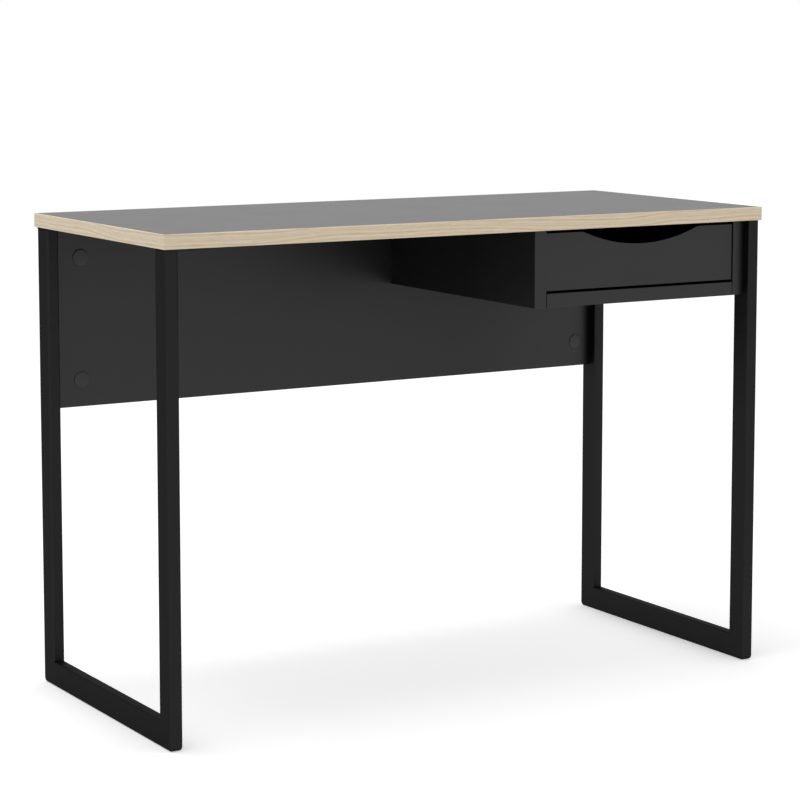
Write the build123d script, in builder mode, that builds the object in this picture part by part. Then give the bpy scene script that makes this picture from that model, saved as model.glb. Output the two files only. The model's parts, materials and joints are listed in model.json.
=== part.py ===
from build123d import *
import os
from math import acos, degrees, radians, sin

# Writing desk: board top on two sled frames of steel tube, with a modesty panel and one drawer.
# +X is the user's right, +Y the back and +Z up. The origin is on the floor, under the middle of the top.

# Overall size
desk_height = 765
top_width = 1090
top_depth = 484
board = 22  # top, modesty panel and drawer case
edge_break = 0.3  # chamfer on the boards' visible edges

# Oak edge band round the top
band = 2
band_round = 1

# Leg frames of rectangular tube
tube_across = 20
tube_deep = 40
tube_wall = 1.5
tube_round = 4
foot_round = 8  # at each frame's two corners on the floor
overhang = 4  # top past each frame's outer face
tab = 3  # steel tab under the top
tab_reach = 50
tab_margin = 1

# Modesty panel and its round cover caps
panel_bottom = 450
panel_recess = 18  # behind the back legs' front faces
cap_heights = (493.5, 692.5)
cap_from_left_leg = (45.5, 45.5)
cap_from_right_leg = (29.5, 45.5)
cap_radius = 13.7
cap_proud = 1.8
cap_edge = 1  # sloped rim
cap_plug = 2  # into the drum's hole

# Drawer case under the right end
case_width = 415
case_height = 124
case_recess = 17  # behind the front legs' front faces
shadow_line = 1.2  # fine gap at each end of the case bottom's front edge
shadow_depth = 6

# Drawer front with its scooped hand-hold
front_thick = 18
front_height = 92
front_recess = 2.2  # behind the case's front edges
front_side_gap = 1
front_bottom_gap = 4
scoop_depth = 23.5
scoop_radius = 285
shoulder_radius = 30

# Drawer box
box_side = 12
box_height = 60
box_length = 400
runner_gap = 12.5  # between the drawer box and the case, on each side
bottom_thick = 3
groove_depth = 6
groove_height = 3.2
groove_above_edge = 6

# Roller runners of bent sheet steel
sheet = 1.2
bend = 1.4
runner_length = 400
roller_radius = 9
roller_width = 6.4
roller_floor = 11  # top of the channel's lower flange above the case bottom
roller_from_end = 12
running_gap = 0.3
pin_radius = 3
pin_play = 0.05
pin_head = 4.5
pin_head_height = 0.6
flange_cutaway = 30  # where the drawer is lifted in

# Fittings
fit = 0.05  # fittings in their holes
play = 0.5  # past a fitting's end
drum_radius = 7.5
drum_reach = 34  # drum centre from the board's end
big_drum_radius = 12.5
bolt_radius = 3
bolt_bore = 4
bolt_thread = 11
dowel_radius = 4
dowel_short = 12  # into a board's face
dowel_long = 18  # into a board's end
nut_flats = 10
nut_height = 6
nut_hole = 3.3  # in the tube wall
few_sides = 6  # shanks, dowels and their holes are out of sight, so they are plain prisms
head_sides = 8  # screw heads
drum_sides = 12  # cam drums and roller pins

# Places worked out from the sizes above
top_under = desk_height - board
frame_x = top_width / 2 - overhang
leg_inner_x = frame_x - tube_across
frame_y = top_depth / 2
panel_front = frame_y - tube_deep + panel_recess
panel_mid = panel_front + board / 2
case_right = leg_inner_x
case_left = case_right - case_width
case_front = case_recess - frame_y
case_under = top_under - case_height
bay_left = case_left + board
bay_right = case_right - board
bay_mid = (bay_left + bay_right) / 2
bay_floor = case_under + board
front_face = case_front + front_recess
front_back = front_face + front_thick
front_low = bay_floor + front_bottom_gap
front_top = front_low + front_height
box_left = bay_left + runner_gap
box_right = bay_right - runner_gap
box_inner_left = box_left + box_side
box_inner_right = box_right - box_side
box_rear = front_back + box_length
bay_mirror = Plane.YZ.offset(bay_mid)
to_end = {-1: "-X", 1: "+X"}  # on the left and on the right
to_middle = {-1: "+X", 1: "-X"}
towards = {
    "+X": (1, 0, 0),
    "-X": (-1, 0, 0),
    "+Y": (0, 1, 0),
    "-Y": (0, -1, 0),
    "+Z": (0, 0, 1),
    "-Z": (0, 0, -1),
}

os.makedirs("parts", exist_ok=True)


# Label a finished piece and write its file
def save(part, name):
    part.label = name
    export_step(part, f"parts/{name}.step")


# A place on a face, its Z out of the face and its X along the second direction
def place(x, y, z, outward, along=None):
    if along is None:
        along = "+X" if outward in ("+Z", "-Z") else "+Z"
    return Plane(origin=(x, y, z), z_dir=towards[outward], x_dir=towards[along])


# Drill the piece that is being built, at several places
def drill(places, radius, depth, sides=few_sides):
    with BuildSketch(*places) as mouths:
        RegularPolygon(radius, sides)
    extrude(mouths.sketch, amount=-depth, mode=Mode.SUBTRACT)


# Copies of one fitting at several places, as one group of separate solids
def group(form, places):
    with BuildPart() as pieces:
        with Locations(*places):
            add(form)
    return pieces.part


# The same piece on the other side of the drawer bay
def across_bay(part):
    with BuildPart() as other:
        mirror(part, about=bay_mirror)
    return other.part


# Screw along Z, its low head standing on the place and its shank going in
def screw(head, head_height, shank, length):
    with BuildPart() as form:
        with BuildSketch():
            RegularPolygon(head, head_sides)
        extrude(amount=head_height)
        with BuildSketch():
            RegularPolygon(shank, few_sides)
        extrude(amount=-length)
    return form.part


# Cam drum, flush with the place, with a key slot and a channel for the bolt's head along X
def cam_drum(radius, height, bolt_depth):
    channel = 2 * bolt_radius + 0.6
    with BuildPart() as form:
        with BuildSketch():
            RegularPolygon(radius, drum_sides)
        extrude(amount=-height)
        with BuildSketch():
            Rectangle(radius * 0.25, radius * 1.2)
        extrude(amount=-height * 0.15, mode=Mode.SUBTRACT)
        with BuildSketch(Plane(origin=(radius, 0, -bolt_depth), z_dir=(1, 0, 0))):
            Rectangle(channel, channel)
        extrude(amount=-radius - bolt_radius, mode=Mode.SUBTRACT)
    return form.part


# Cam bolt along Z: thread below the place, then shank, neck and the head that the drum grips
def cam_bolt(reach):
    neck_start = reach - 2 * bolt_radius
    head_start = reach - bolt_radius / 2
    with BuildPart() as form:
        for radius, low, high in (
            (bolt_radius, -bolt_thread, neck_start),
            (bolt_radius * 0.7, neck_start, head_start),
            (bolt_radius, head_start, reach + bolt_radius / 2),
        ):
            with BuildSketch(Plane.XY.offset(low)):
                RegularPolygon(radius, few_sides)
            extrude(amount=high - low)
    return form.part


# Dowel along Z, part of it below the place
def dowel(radius, length, below):
    with BuildPart() as form:
        with BuildSketch(Plane.XY.offset(-below)):
            RegularPolygon(radius, few_sides)
        extrude(amount=length)
    return form.part


# Top board and its four oak bands, the long ones running past the short ones' ends
plate_screw = {"head": 4, "head_height": 2, "shank": 2, "length": 16}
tab_mid_y = frame_y - tube_deep / 2
rear_tab_mid_y = (frame_y - tube_deep + panel_front) / 2
tab_screw_x = [-leg_inner_x + tab_reach * share for share in (0.35, 0.8)]
tab_screw_spots = [(x, y) for y in (-tab_mid_y, rear_tab_mid_y) for x in tab_screw_x]
case_cam_y = (case_front + 36, panel_front - 40)
side_mid_x = {"left": case_left + board / 2, "right": case_right - board / 2}
top_bolt_spots = [(x, y) for x in side_mid_x.values() for y in case_cam_y]

with BuildPart() as top_board:
    with BuildSketch(Plane.XY.offset(top_under)):
        Rectangle(top_width - 2 * band, top_depth - 2 * band)
    extrude(amount=board)
    screw_mouths = [place(x, y, top_under, "-Z") for x, y in tab_screw_spots]
    drill(screw_mouths, plate_screw["shank"] + fit, plate_screw["length"])
    bolt_mouths = [place(x, y, top_under, "-Z") for x, y in top_bolt_spots]
    drill(bolt_mouths, bolt_radius + fit, bolt_thread + play)
save(top_board.part, "top_board")

band_z = top_under + board / 2
for end, normal in (("front", Plane.front), ("back", Plane.back)):
    with BuildPart() as long_band:
        with BuildSketch(normal.offset(frame_y - band)):
            with Locations((0, band_z)):
                Rectangle(top_width, board)
        extrude(amount=band)
        outer = long_band.faces().sort_by(Axis.Y)[0 if end == "front" else -1]
        fillet(outer.edges(), band_round)
    save(long_band.part, f"top_band_{end}")

for end, normal in (("left", Plane.left), ("right", Plane.right)):
    with BuildPart() as short_band:
        with BuildSketch(normal.offset(top_width / 2 - band)):
            with Locations((0, band_z)):
                Rectangle(top_depth - 2 * band, board)
        extrude(amount=band)
        outer = short_band.faces().sort_by(Axis.X)[0 if end == "left" else -1]
        fillet(outer.edges().filter_by(Axis.Y), band_round)
    save(short_band.part, f"top_band_{end}")

# Leg frames: two legs and a bottom rail each, mitred and welded at the floor, with the corners ground round
nut_spots = {
    ("left", "back"): [(panel_mid, z) for z in cap_heights],
    ("right", "back"): [(panel_mid, z) for z in cap_heights],
    ("right", "front"): [],
    ("left", "front"): [],
}
frame_bolt_z = (top_under - 48, top_under - 18)
leg_face = frame_y - tube_deep
for end, y in (("front", (case_front - leg_face) / 2), ("back", (panel_front + leg_face) / 2)):
    nut_spots["right", end] = nut_spots["right", end] + [(y, z) for z in frame_bolt_z]


# Round off the tube that is being built at a corner on the floor
def grind_foot(mid_x, back):
    with BuildSketch(Plane.YZ.offset(mid_x)) as waste:
        with Locations((back * frame_y, 0)):
            Rectangle(2 * foot_round, 2 * foot_round)
        with Locations((back * (frame_y - foot_round), foot_round)):
            Circle(foot_round, mode=Mode.SUBTRACT)
    extrude(waste.sketch, amount=tube_across, both=True, mode=Mode.SUBTRACT)


for side, sign in (("left", -1), ("right", 1)):
    mid_x = sign * (frame_x - tube_across / 2)
    leg_top = top_under - tab if side == "left" else top_under
    for end, back in (("front", -1), ("back", 1)):
        leg_middle = (mid_x, back * (frame_y - tube_deep / 2))
        with BuildPart() as leg:
            with BuildSketch():
                with Locations(leg_middle):
                    RectangleRounded(tube_across, tube_deep, tube_round)
            extrude(amount=leg_top)
            with BuildSketch(Plane.XY.offset(foot_round)) as bore:
                with Locations(leg_middle):
                    Rectangle(tube_across - 2 * tube_wall, tube_deep - 2 * tube_wall)
                chamfer(bore.vertices(), tube_round - tube_wall)
            extrude(amount=leg_top, mode=Mode.SUBTRACT)
            split(bisect_by=Plane(origin=(mid_x, back * frame_y, 0), z_dir=(0, back, 1)), keep=Keep.TOP)
            grind_foot(mid_x, back)
            if nut_spots[side, end]:
                inner_x = sign * leg_inner_x
                holes = [place(inner_x, y, z, to_middle[sign]) for y, z in nut_spots[side, end]]
                drill(holes, nut_hole, tube_across / 2)
        save(leg.part, f"{side}_{end}_leg")

    with BuildPart() as rail:
        with BuildSketch(Plane.XZ):
            with Locations((mid_x, tube_deep / 2)):
                RectangleRounded(tube_across, tube_deep, tube_round)
        extrude(amount=frame_y, both=True)
        with BuildSketch(Plane.XZ) as bore:
            with Locations((mid_x, tube_deep / 2)):
                Rectangle(tube_across - 2 * tube_wall, tube_deep - 2 * tube_wall)
            chamfer(bore.vertices(), tube_round - tube_wall)
        extrude(amount=frame_y - foot_round, both=True, mode=Mode.SUBTRACT)
        for back in (-1, 1):
            split(bisect_by=Plane(origin=(mid_x, back * frame_y, 0), z_dir=(0, -back, -1)), keep=Keep.TOP)
            grind_foot(mid_x, back)
    save(rail.part, f"{side}_bottom_rail")

# Steel tabs welded on the left legs' top ends, reaching in under the top
tab_start = -frame_x + tab_margin
tab_end = -leg_inner_x + tab_reach
with BuildPart() as front_tab:
    with BuildSketch(Plane.XY.offset(top_under - tab)):
        with Locations(((tab_start + tab_end) / 2, -tab_mid_y)):
            Rectangle(tab_end - tab_start, tube_deep - 2 * tab_margin)
    extrude(amount=tab)
    screw_mouths = [place(x, -tab_mid_y, top_under - tab, "-Z") for x in tab_screw_x]
    drill(screw_mouths, plate_screw["shank"] + fit, tab)
save(front_tab.part, "left_front_leg_plate")

with BuildPart() as rear_tab:
    with BuildSketch(Plane.XY.offset(top_under - tab)):
        with Locations((-frame_x + tube_across / 2, tab_mid_y)):
            Rectangle(tube_across - 2 * tab_margin, tube_deep - 2 * tab_margin)
        with Locations(((tab_start + tab_end) / 2, rear_tab_mid_y)):
            Rectangle(tab_end - tab_start, panel_recess - 2 * tab_margin)
    extrude(amount=tab)
    screw_mouths = [place(x, rear_tab_mid_y, top_under - tab, "-Z") for x in tab_screw_x]
    drill(screw_mouths, plate_screw["shank"] + fit, tab)
save(rear_tab.part, "left_back_leg_plate")

plate_screw_places = [place(x, y, top_under - tab, "-Z") for x, y in tab_screw_spots]
save(group(screw(**plate_screw), plate_screw_places), "leg_plate_screws")

# Hexagon nuts welded inside the tubes, behind the holes
with BuildPart() as nut:
    with BuildSketch(Plane.XY.offset(-tube_wall)):
        RegularPolygon(nut_flats / 2, 6, major_radius=False)
        RegularPolygon(bolt_radius + fit, few_sides, mode=Mode.SUBTRACT)
    extrude(amount=-nut_height)
nut_places = []
for (side, end), spots in nut_spots.items():
    sign = -1 if side == "left" else 1
    nut_places = nut_places + [place(sign * leg_inner_x, y, z, to_middle[sign], "+Z") for y, z in spots]
save(group(nut.part, nut_places), "leg_weld_nuts")

# Modesty panel, drilled for the cam drums and their bolts, with cover caps plugged in over the drums
big_drum_height = board * 0.6
panel_dowel_z = (case_under + top_under) / 2
cams = [(-1, reach, z) for reach, z in zip(cap_from_left_leg, cap_heights)]
cams = cams + [(1, reach, z) for reach, z in zip(cap_from_right_leg, cap_heights)]
cap_places = [place(sign * (leg_inner_x - reach), panel_front, z, "-Y") for sign, reach, z in cams]

with BuildPart() as modesty_panel:
    with BuildSketch(Plane.XZ.offset(-panel_front)):
        with Locations((0, (panel_bottom + top_under) / 2)):
            Rectangle(2 * leg_inner_x, top_under - panel_bottom)
    extrude(amount=-board)
    chamfer(modesty_panel.edges().filter_by(Axis.X).group_by(Axis.Z)[0], edge_break)
    drill(cap_places, big_drum_radius + fit, cap_plug + big_drum_height + fit, drum_sides)
    for sign, reach, z in cams:
        drill([place(sign * leg_inner_x, panel_mid, z, to_end[sign])], bolt_bore, reach)
    dowel_mouths = [place(x, panel_front, panel_dowel_z, "-Y") for x in side_mid_x.values()]
    drill(dowel_mouths, dowel_radius + fit, dowel_short + play)
save(modesty_panel.part, "modesty_panel")

modesty_drum = cam_drum(big_drum_radius, big_drum_height, board / 2 - cap_plug)
drum_places = []
for sign, reach, z in cams:
    drum_places.append(place(sign * (leg_inner_x - reach), panel_front + cap_plug, z, "-Y", to_end[sign]))
save(group(modesty_drum, drum_places), "modesty_cam_drums")

with BuildPart() as modesty_cam_bolts:
    for sign, reach, z in cams:
        with Locations(place(sign * leg_inner_x, panel_mid, z, to_middle[sign])):
            add(cam_bolt(reach))
save(modesty_cam_bolts.part, "modesty_cam_bolts")

with BuildPart() as cap:
    Cylinder(cap_radius, cap_proud, align=(Align.CENTER, Align.CENTER, Align.MIN))
    chamfer(cap.edges().group_by(Axis.Z)[-1], cap_edge)
    with BuildSketch():
        RegularPolygon(big_drum_radius, drum_sides)
    extrude(amount=-cap_plug)
save(group(cap.part, cap_places), "modesty_cover_caps")

# Drawer case: two sides hung from the top and a bottom between them
case_drum_z = top_under - drum_reach
drum_height = board * 0.7
runner_screw = {"head": 3.2, "head_height": 0.7, "shank": 2, "length": 15}
frame_bolt = {"head": 6, "head_height": 3, "shank": bolt_radius, "length": board + bolt_thread - 3}
runner_front = front_back + 2
runner_screw_y = [runner_front + runner_length * share for share in (0.14, 0.52, 0.9)]
roller_z = bay_floor + roller_floor + running_gap + roller_radius
runner_screw_z = roller_z + 7.5
bottom_cam_y = (case_front + 45, panel_front - 50)
bottom_dowel_y = (case_front + 110, panel_front - 115)
bottom_mid_z = case_under + board / 2

for side, sign, low_x, inner_x in (("left", -1, case_left, bay_left), ("right", 1, bay_right, bay_right)):
    with BuildPart() as case_side:
        with BuildSketch(Plane.YZ.offset(low_x)):
            with Locations(((case_front + panel_front) / 2, top_under - case_height / 2)):
                Rectangle(panel_front - case_front, case_height)
        extrude(amount=board)
        chamfer(case_side.faces().sort_by(Axis.Y)[0].edges(), edge_break)
        inner = to_middle[sign]
        drum_mouths = [place(inner_x, y, case_drum_z, inner) for y in case_cam_y]
        drill(drum_mouths, drum_radius + fit, drum_height + fit, drum_sides)
        drill([place(side_mid_x[side], y, top_under, "+Z") for y in case_cam_y], bolt_bore, drum_reach)
        bolt_mouths = [place(inner_x, y, bottom_mid_z, inner) for y in bottom_cam_y]
        drill(bolt_mouths, bolt_radius + fit, bolt_thread + play)
        dowel_mouths = [place(inner_x, y, bottom_mid_z, inner) for y in bottom_dowel_y]
        drill(dowel_mouths, dowel_radius + fit, dowel_short + play)
        dowel_mouth = place(side_mid_x[side], panel_front, panel_dowel_z, "+Y")
        drill([dowel_mouth], dowel_radius + fit, dowel_long + play)
        screw_mouths = [place(inner_x, y, runner_screw_z, inner) for y in runner_screw_y]
        drill(screw_mouths, runner_screw["shank"] + fit, runner_screw["length"])
        if side == "right":
            bolt_spots = [spot for end in ("front", "back") for spot in nut_spots["right", end][-2:]]
            bolt_mouths = [place(inner_x, y, z, inner) for y, z in bolt_spots]
            drill(bolt_mouths, frame_bolt["head"] + fit, frame_bolt["head_height"], head_sides)
            drill(bolt_mouths, frame_bolt["shank"] + fit, board)
    save(case_side.part, f"case_{side}_side")

frame_bolt_x = bay_right + frame_bolt["head_height"]
frame_bolt_places = [place(frame_bolt_x, y, z, "-X") for y, z in bolt_spots]
save(group(screw(**frame_bolt), frame_bolt_places), "right_frame_bolts")

bottom_drum_x = (bay_left + drum_reach, bay_right - drum_reach)
with BuildPart() as case_bottom:
    with BuildSketch(Plane.XY.offset(case_under)):
        with Locations((bay_mid, (case_front + panel_front) / 2)):
            Rectangle(bay_right - bay_left, panel_front - case_front)
        with Locations((bay_left, case_front), (bay_right, case_front)):
            Rectangle(2 * shadow_line, 2 * shadow_depth, mode=Mode.SUBTRACT)
    extrude(amount=board)
    chamfer(case_bottom.faces().sort_by(Axis.Y)[0].edges(), edge_break)
    drum_mouths = [place(x, y, case_under, "-Z") for x in bottom_drum_x for y in bottom_cam_y]
    drill(drum_mouths, drum_radius + fit, drum_height + fit, drum_sides)
    for sign, x in ((-1, bay_left), (1, bay_right)):
        drill([place(x, y, bottom_mid_z, to_end[sign]) for y in bottom_cam_y], bolt_bore, drum_reach)
        dowel_mouths = [place(x, y, bottom_mid_z, to_end[sign]) for y in bottom_dowel_y]
        drill(dowel_mouths, dowel_radius + fit, dowel_long + play)
save(case_bottom.part, "case_bottom")

# The case's drums and bolts: four up into the top, four out into the sides
case_drum_places = []
case_bolt_places = [place(x, y, top_under, "-Z") for x, y in top_bolt_spots]
for sign, x, drum_x in ((-1, bay_left, bottom_drum_x[0]), (1, bay_right, bottom_drum_x[1])):
    for y in case_cam_y:
        case_drum_places.append(place(x, y, case_drum_z, to_middle[sign], "+Z"))
    for y in bottom_cam_y:
        case_drum_places.append(place(drum_x, y, case_under, "-Z", to_end[sign]))
        case_bolt_places.append(place(x, y, bottom_mid_z, to_middle[sign]))
save(group(cam_drum(drum_radius, drum_height, board / 2), case_drum_places), "case_cam_drums")
save(group(cam_bolt(drum_reach), case_bolt_places), "case_cam_bolts")

case_dowel_places = [place(x, panel_front, panel_dowel_z, "-Y") for x in side_mid_x.values()]
case_dowel_places = case_dowel_places + [place(bay_left, y, bottom_mid_z, "+X") for y in bottom_dowel_y]
case_dowel_places = case_dowel_places + [place(bay_right, y, bottom_mid_z, "-X") for y in bottom_dowel_y]
save(group(dowel(dowel_radius, dowel_short + dowel_long, dowel_short), case_dowel_places), "case_dowels")

# Case runner: a channel that the drawer's rear roller runs in, cut away above the front roller
roller_near = bay_left + sheet + 1.4  # the roller's face nearest the case
roller_far = roller_near + roller_width
lip = roller_far + 0.4 + sheet
channel_floor = bay_floor + roller_floor
channel_top = channel_floor + 2 * (roller_radius + running_gap) + 2 * sheet + 0.8 + running_gap
case_roller_y = runner_front + roller_from_end

with BuildPart() as case_runner:
    with BuildSketch(Plane.XZ.offset(-runner_front)):
        with BuildLine():
            FilletPolyline(
                (lip, channel_floor + 3),
                (lip, channel_floor - sheet),
                (bay_left, channel_floor - sheet),
                (bay_left, channel_top),
                (roller_far, channel_top),
                radius=bend,
            )
            offset(amount=sheet, side=Side.RIGHT)
        make_face()
    extrude(amount=-runner_length)
    with Locations((bay_left + bend, runner_front, channel_top)):
        Box(
            runner_gap,
            flange_cutaway,
            2 * bend,
            align=(Align.MIN, Align.MIN, Align.CENTER),
            mode=Mode.SUBTRACT,
        )
    runner_mouths = [place(bay_left + sheet, y, runner_screw_z, "+X") for y in runner_screw_y]
    drill(runner_mouths, runner_screw["shank"] + fit, sheet)
save(case_runner.part, "case_left_runner")
save(across_bay(case_runner.part), "case_right_runner")

case_screw_places = []
for sign, x in ((-1, bay_left + sheet), (1, bay_right - sheet)):
    for y in runner_screw_y:
        case_screw_places.append(place(x, y, runner_screw_z, to_middle[sign]))
save(group(screw(**runner_screw), case_screw_places), "case_runner_screws")

# Drawer runner: a Z-section that carries the drawer side and rides on the case's front roller
flange_under = roller_z + roller_radius + running_gap
flange_top = flange_under + sheet
box_low = channel_floor + sheet + 0.2
drawer_runner_front = front_back + 1
drawer_roller_y = box_rear - roller_from_end
drawer_screw = {"head": 3.2, "head_height": 0.7, "shank": 2, "length": 11}
drawer_screw_y = [front_back + box_length * share for share in (0.12, 0.6)]
drawer_screw_z = box_low + 13
side_mid = {"left": box_left + box_side / 2, "right": box_right - box_side / 2}

with BuildPart() as drawer_runner:
    with BuildSketch(Plane.XZ.offset(-drawer_runner_front)):
        with BuildLine():
            FilletPolyline(
                (roller_near - 0.4, flange_top),
                (box_left, flange_top),
                (box_left, box_low),
                (box_inner_left, box_low),
                radius=bend,
            )
            offset(amount=sheet, side=Side.RIGHT)
        make_face()
    extrude(amount=drawer_runner_front - box_rear)
    runner_mouths = [place(box_left - sheet, y, drawer_screw_z, "-X") for y in drawer_screw_y]
    drill(runner_mouths, drawer_screw["shank"] + fit, sheet)
save(drawer_runner.part, "drawer_left_runner")
save(across_bay(drawer_runner.part), "drawer_right_runner")

drawer_screw_places = []
for sign, x in ((-1, box_left - sheet), (1, box_right + sheet)):
    for y in drawer_screw_y:
        drawer_screw_places.append(place(x, y, drawer_screw_z, to_end[sign]))
save(group(screw(**drawer_screw), drawer_screw_places), "drawer_runner_screws")

# Rollers, and the headed pins that stand on the runners' webs
with BuildPart() as roller:
    with BuildSketch():
        Circle(roller_radius)
        RegularPolygon(pin_radius + pin_play, 2 * drum_sides, mode=Mode.SUBTRACT)
    extrude(amount=roller_width / 2, both=True)


# Roller pin along Z: journal on the sheet, then the head that keeps the roller on
def roller_pin(roller_start):
    journal = roller_start + roller_width + 0.2
    with BuildPart() as form:
        with BuildSketch():
            RegularPolygon(pin_radius, drum_sides)
        extrude(amount=journal)
        with BuildSketch(Plane.XY.offset(journal)):
            RegularPolygon(pin_head, drum_sides)
        extrude(amount=pin_head_height)
    return form.part


roller_mid = (roller_near + roller_far) / 2
case_pin = roller_pin(roller_near - bay_left - sheet)
drawer_pin = roller_pin(box_left - sheet - roller_far)
for owner, y, pin, spot in (
    ("case", case_roller_y, case_pin, place(bay_left + sheet, case_roller_y, roller_z, "+X")),
    ("drawer", drawer_roller_y, drawer_pin, place(box_left - sheet, drawer_roller_y, roller_z, "-X")),
):
    left_roller = group(roller.part, [place(roller_mid, y, roller_z, "+X")])
    left_pin = group(pin, [spot])
    save(left_roller, f"{owner}_left_roller")
    save(across_bay(left_roller), f"{owner}_right_roller")
    save(left_pin, f"{owner}_left_roller_pin")
    save(across_bay(left_pin), f"{owner}_right_roller_pin")

# Drawer front: the scoop is one long arc that runs into the top edge over two shoulder arcs
scoop_turn = degrees(acos(1 - scoop_depth / (scoop_radius + shoulder_radius)))
scoop_half = (scoop_radius + shoulder_radius) * sin(radians(scoop_turn))
front_left = bay_left + front_side_gap
front_right = bay_right - front_side_gap
box_top = box_low + box_height
groove_low = box_low + groove_above_edge
groove_mid = groove_low + groove_height / 2
front_joint_z = [box_low + box_height * share for share in (0.37, 0.8)]
front_dowel_z = sum(front_joint_z) / 2
small_drum_reach = 24
small_drum_height = box_side * 0.8
small_bore = 3.5
small_dowel_radius = 3
small_dowel_half = 12
front_bolt_places = [place(x, front_back, z, "+Y") for x in side_mid.values() for z in front_joint_z]
front_dowel_places = [place(x, front_back, front_dowel_z, "+Y") for x in side_mid.values()]

with BuildPart() as drawer_front:
    with BuildSketch(Plane.XZ.offset(-front_back)):
        with BuildLine():
            scoop_start = (bay_mid - scoop_half, front_top)
            left_shoulder = JernArc(scoop_start, (1, 0), shoulder_radius, -scoop_turn)
            hollow = JernArc(left_shoulder @ 1, left_shoulder % 1, scoop_radius, 2 * scoop_turn)
            right_shoulder = JernArc(hollow @ 1, hollow % 1, shoulder_radius, -scoop_turn)
            Polyline(
                right_shoulder @ 1,
                (front_right, front_top),
                (front_right, front_low),
                (front_left, front_low),
                (front_left, front_top),
                left_shoulder @ 0,
            )
        make_face()
    extrude(amount=front_thick)
    chamfer(drawer_front.faces().sort_by(Axis.Y)[0].edges(), edge_break)
    with Locations((bay_mid, front_back, groove_mid)):
        Box(
            box_inner_right - box_inner_left + 2 * groove_depth,
            groove_depth,
            groove_height,
            align=(Align.CENTER, Align.MAX, Align.CENTER),
            mode=Mode.SUBTRACT,
        )
    drill(front_bolt_places, bolt_radius + fit, bolt_thread + play)
    drill(front_dowel_places, small_dowel_radius + fit, small_dowel_half + play)
save(drawer_front.part, "drawer_front")

# Drawer box: grooved sides, a back between them and a thin bottom slid into the grooves
back_screw = {"head": 4, "head_height": 1.5, "shank": 2, "length": 35}
back_mid_y = box_rear - box_side / 2
back_screw_z = [box_low + box_height * share for share in (0.45, 0.8)]
with BuildPart() as drawer_side:
    with BuildSketch(Plane.YZ.offset(box_left)):
        with Locations(((front_back + box_rear) / 2, box_low + box_height / 2)):
            Rectangle(box_length, box_height)
    extrude(amount=box_side)
    lower_edges = drawer_side.edges().filter_by(Axis.Y).group_by(Axis.Z)[0]
    chamfer(lower_edges.sort_by(Axis.X)[0], bend)
    with Locations((box_inner_left, front_back, groove_mid)):
        Box(
            groove_depth,
            box_length,
            groove_height,
            align=(Align.MAX, Align.MIN, Align.CENTER),
            mode=Mode.SUBTRACT,
        )
    drum_mouths = [place(box_inner_left, front_back + small_drum_reach, z, "+X") for z in front_joint_z]
    drill(drum_mouths, drum_radius + fit, small_drum_height + fit, drum_sides)
    drill([place(side_mid["left"], front_back, z, "-Y") for z in front_joint_z], small_bore, small_drum_reach)
    dowel_mouth = place(side_mid["left"], front_back, front_dowel_z, "-Y")
    drill([dowel_mouth], small_dowel_radius + fit, small_dowel_half + play)
    drill([place(box_left, back_mid_y, z, "-X") for z in back_screw_z], back_screw["shank"] + fit, box_side)
    screw_mouths = [place(box_left, y, drawer_screw_z, "-X") for y in drawer_screw_y]
    drill(screw_mouths, drawer_screw["shank"] + fit, drawer_screw["length"])
save(drawer_side.part, "drawer_left_side")
save(across_bay(drawer_side.part), "drawer_right_side")

bottom_play = 0.5
bottom_low = groove_mid - bottom_thick / 2
bottom_top = bottom_low + bottom_thick
bottom_screw = {"head": 3.2, "head_height": 1, "shank": 1.5, "length": 16}
bottom_screw_x = (bay_mid - 65, bay_mid + 65)

with BuildPart() as drawer_back:
    with BuildSketch(Plane.XZ.offset(-box_rear)):
        with Locations((bay_mid, (bottom_top + box_top) / 2)):
            Rectangle(box_inner_right - box_inner_left, box_top - bottom_top)
    extrude(amount=box_side)
    for sign, x in ((-1, box_inner_left), (1, box_inner_right)):
        screw_mouths = [place(x, back_mid_y, z, to_end[sign]) for z in back_screw_z]
        drill(screw_mouths, back_screw["shank"] + fit, back_screw["length"] - box_side + play)
    screw_mouths = [place(x, back_mid_y, bottom_top, "-Z") for x in bottom_screw_x]
    drill(screw_mouths, bottom_screw["shank"] + fit, bottom_screw["length"])
save(drawer_back.part, "drawer_back")

with BuildPart() as drawer_bottom:
    with BuildSketch(Plane.XY.offset(bottom_low)):
        with Locations((bay_mid, (front_back - groove_depth + bottom_play + box_rear) / 2)):
            Rectangle(
                box_inner_right - box_inner_left + 2 * (groove_depth - bottom_play),
                box_length + groove_depth - bottom_play,
            )
    extrude(amount=bottom_thick)
    screw_mouths = [place(x, back_mid_y, bottom_low, "-Z") for x in bottom_screw_x]
    drill(screw_mouths, bottom_screw["shank"] + fit, bottom_thick)
save(drawer_bottom.part, "drawer_bottom")

# The drawer's own fittings
small_drum_places = []
for sign, x in ((-1, box_inner_left), (1, box_inner_right)):
    small_drum_places = small_drum_places + [
        place(x, front_back + small_drum_reach, z, to_middle[sign], "-Y") for z in front_joint_z
    ]
back_screw_places = [place(box_left, back_mid_y, z, "-X") for z in back_screw_z]
back_screw_places = back_screw_places + [place(box_right, back_mid_y, z, "+X") for z in back_screw_z]
bottom_screw_places = [place(x, back_mid_y, bottom_low, "-Z") for x in bottom_screw_x]
small_dowel = dowel(small_dowel_radius, 2 * small_dowel_half, small_dowel_half)
save(group(cam_drum(drum_radius, small_drum_height, box_side / 2), small_drum_places), "drawer_cam_drums")
save(group(cam_bolt(small_drum_reach), front_bolt_places), "drawer_cam_bolts")
save(group(small_dowel, front_dowel_places), "drawer_dowels")
save(group(screw(**back_screw), back_screw_places), "drawer_back_screws")
save(group(screw(**bottom_screw), bottom_screw_places), "drawer_bottom_screws")
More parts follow.
